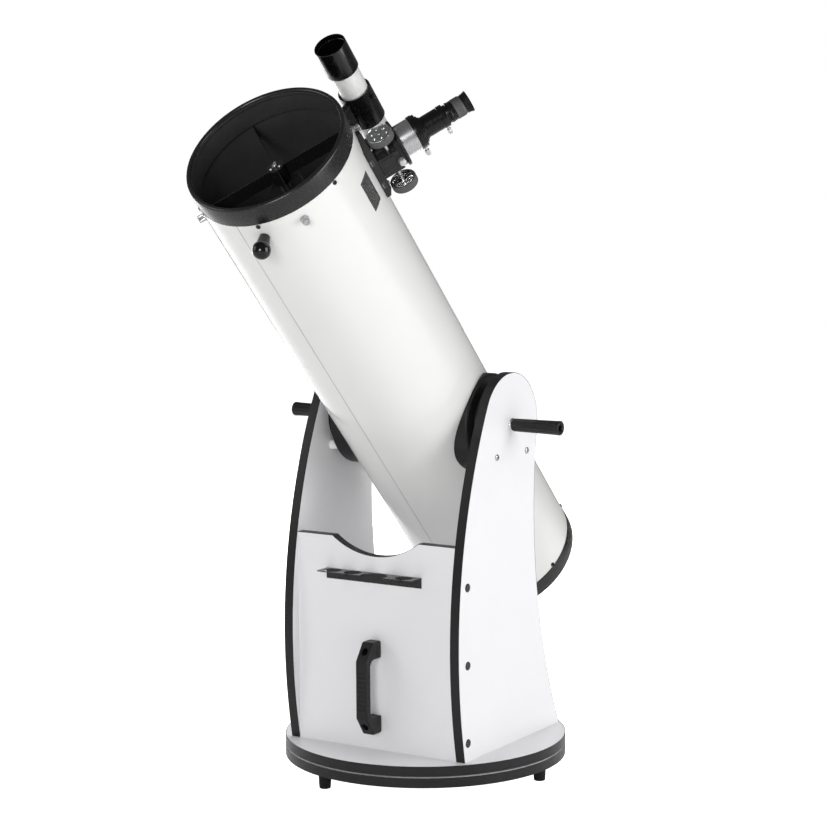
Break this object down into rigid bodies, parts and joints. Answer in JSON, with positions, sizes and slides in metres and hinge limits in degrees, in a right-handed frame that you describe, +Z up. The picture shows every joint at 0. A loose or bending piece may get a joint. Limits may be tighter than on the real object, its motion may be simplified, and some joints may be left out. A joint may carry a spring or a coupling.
{
  "type": "dobsonian telescope",
  "caption": "Dobsonian reflector: white tube with focuser and finder on a two-axis board rocker box with front pull handle and eyepiece rack.",
  "frame": {"origin": "on the floor under the azimuth axis", "axes": "+Z up along the azimuth axis, +X along the altitude axis towards the right-hand side board, -Y towards the front panel and handle"},
  "size_m": [0.5836, 0.9962, 1.3681],
  "materials": {
    "white_laminate": "satin",
    "black_edging": "satin",
    "black_rubber": "matte",
    "black_plastic": "satin",
    "white_nylon": "satin",
    "steel": "satin",
    "chrome": "polished",
    "white_enamel": "gloss",
    "black_paint": "satin",
    "black_anodised": "satin",
    "silver_anodised": "satin",
    "mirror": "polished",
    "glass": "polished"
  },
  "bodies": {
    "base": {"feet": "black_rubber", "ground_board": "white_laminate", "ground_board_band": "black_edging", "glide_pads": "white_nylon", "pivot_bolt": "steel"},
    "rocker": {"rocker_deck": "white_laminate", "rocker_deck_band": "black_edging", "pivot_bushing": "white_nylon", "side_board_right": "white_laminate", "side_board_left": "white_laminate", "side_bands": "black_edging", "front_panel": "white_laminate", "front_panel_band": "black_edging", "rocker_screws": "black_paint", "altitude_pads": "white_nylon", "pad_bolts": "steel", "eyepiece_rack": "black_paint", "front_handle": "black_plastic"},
    "tube": {"tube_shell": "white_enamel", "front_ring": "black_paint", "rear_ring": "black_paint", "ring_screws": "black_paint", "altitude_bearing_right": "black_plastic", "altitude_bearing_left": "black_plastic", "spider": "black_paint", "spider_nuts": "silver_anodised", "secondary_holder": "black_plastic", "secondary_mirror": "mirror", "secondary_screws": "steel", "primary_mirror": "mirror", "mirror_cell": "black_anodised", "guide_knob": "black_plastic", "name_plate": "black_plastic", "focuser_base": "black_anodised", "focuser_body": "black_anodised", "focuser_screws": "steel", "finder_shoe": "silver_anodised"},
    "tension_right": {"tension_rod_right": "chrome", "tension_handle_right": "black_plastic"},
    "tension_left": {"tension_rod_left": "chrome", "tension_handle_left": "black_plastic"},
    "focus_shaft": {"focus_knobs": "chrome"},
    "draw": {"drawtube": "silver_anodised", "drawtube_collar": "black_anodised"},
    "adapter": {"eyepiece_adapter": "black_anodised"},
    "ocular": {"eyepiece": "black_anodised", "eyecup": "black_rubber"},
    "lock_screw": {"focuser_lock_screw": "chrome"},
    "collar_thumbscrew": {"collar_screw": "chrome"},
    "adapter_thumbscrew": {"adapter_screw": "chrome"},
    "finder": {"finder_bracket": "black_anodised", "finder_tube": "white_enamel", "dew_shield": "black_anodised", "finder_objective": "glass", "finder_eyepiece": "black_plastic"},
    "aim_screw_right": {"finder_screw_right": "black_plastic"},
    "aim_screw_left": {"finder_screw_left": "black_plastic"},
    "cell_knob_1": {"collimation_knob_1": "black_plastic"},
    "cell_knob_2": {"collimation_knob_2": "black_plastic"},
    "cell_knob_3": {"collimation_knob_3": "black_plastic"}
  },
  "joints": [
    {"name": "azimuth", "type": "hinge", "parent": "base", "child": "rocker", "pos_m": [0, 0, 0], "axis": [0, 0, 1], "continuous": true},
    {"name": "altitude", "type": "hinge", "parent": "rocker", "child": "tube", "pos_m": [0, 0, 0.6675], "axis": [-1, 0, 0], "range_deg": [-45, 44]},
    {"name": "tension_turn_right", "type": "hinge", "parent": "tube", "child": "tension_right", "pos_m": [0.2, 0, 0.6675], "axis": [1, 0, 0], "range_deg": [-360, 360]},
    {"name": "tension_turn_left", "type": "hinge", "parent": "tube", "child": "tension_left", "pos_m": [-0.2, 0, 0.6675], "axis": [-1, 0, 0], "range_deg": [-360, 360]},
    {"name": "draw_slide", "type": "slide", "parent": "tube", "child": "draw", "axis": [0.6884, 0.5209, 0.5048], "range_m": [-0.025, 0.025]},
    {"name": "focus_turn", "type": "hinge", "parent": "tube", "child": "focus_shaft", "pos_m": [0.14607, -0.3271, 1.1565], "axis": [0, 0.6959, -0.7181], "range_deg": [-360, 360]},
    {"name": "lock_turn", "type": "hinge", "parent": "tube", "child": "lock_screw", "pos_m": [0.16637, -0.32697, 1.15245], "axis": [0.7254, -0.4943, -0.479], "range_deg": [-360, 360]},
    {"name": "adapter_slide", "type": "slide", "parent": "draw", "child": "adapter", "axis": [0.6884, 0.5209, 0.5048], "range_m": [0, 0.045]},
    {"name": "collar_screw_turn", "type": "hinge", "parent": "draw", "child": "collar_thumbscrew", "pos_m": [0.16493, -0.24806, 1.17322], "axis": [0, 0.6959, -0.7181], "range_deg": [-360, 360]},
    {"name": "eyepiece_slide", "type": "slide", "parent": "adapter", "child": "ocular", "axis": [0.6884, 0.5209, 0.5048], "range_m": [0, 0.03]},
    {"name": "adapter_screw_turn", "type": "hinge", "parent": "adapter", "child": "adapter_thumbscrew", "pos_m": [0.19962, -0.22876, 1.20585], "axis": [0, 0.6959, -0.7181], "range_deg": [-360, 360]},
    {"name": "finder_slide", "type": "slide", "parent": "tube", "child": "finder", "axis": [0, -0.6959, 0.7181], "range_m": [0, 0.04]},
    {"name": "aim_turn_right", "type": "hinge", "parent": "finder", "child": "aim_screw_right", "pos_m": [0.08835, -0.29415, 1.26252], "axis": [1, 0, 0], "range_deg": [-360, 360]},
    {"name": "aim_turn_left", "type": "hinge", "parent": "finder", "child": "aim_screw_left", "pos_m": [0.02491, -0.28194, 1.27435], "axis": [-0.866, 0.3591, 0.348], "range_deg": [-360, 360]},
    {"name": "cell_knob_turn_1", "type": "hinge", "parent": "tube", "child": "cell_knob_1", "pos_m": [0.11151, 0.31803, 0.38527], "axis": [0, 0.6959, -0.7181], "range_deg": [-360, 360]},
    {"name": "cell_knob_turn_2", "type": "hinge", "parent": "tube", "child": "cell_knob_2", "pos_m": [-0.08344, 0.35293, 0.41909], "axis": [0, 0.6959, -0.7181], "range_deg": [-360, 360]},
    {"name": "cell_knob_turn_3", "type": "hinge", "parent": "tube", "child": "cell_knob_3", "pos_m": [-0.02806, 0.21424, 0.28469], "axis": [0, 0.6959, -0.7181], "range_deg": [-360, 360]}
  ],
  "couplings": [
    {"joint": "focus_turn", "follows": "draw_slide", "rad_per_m": 250}
  ]
}
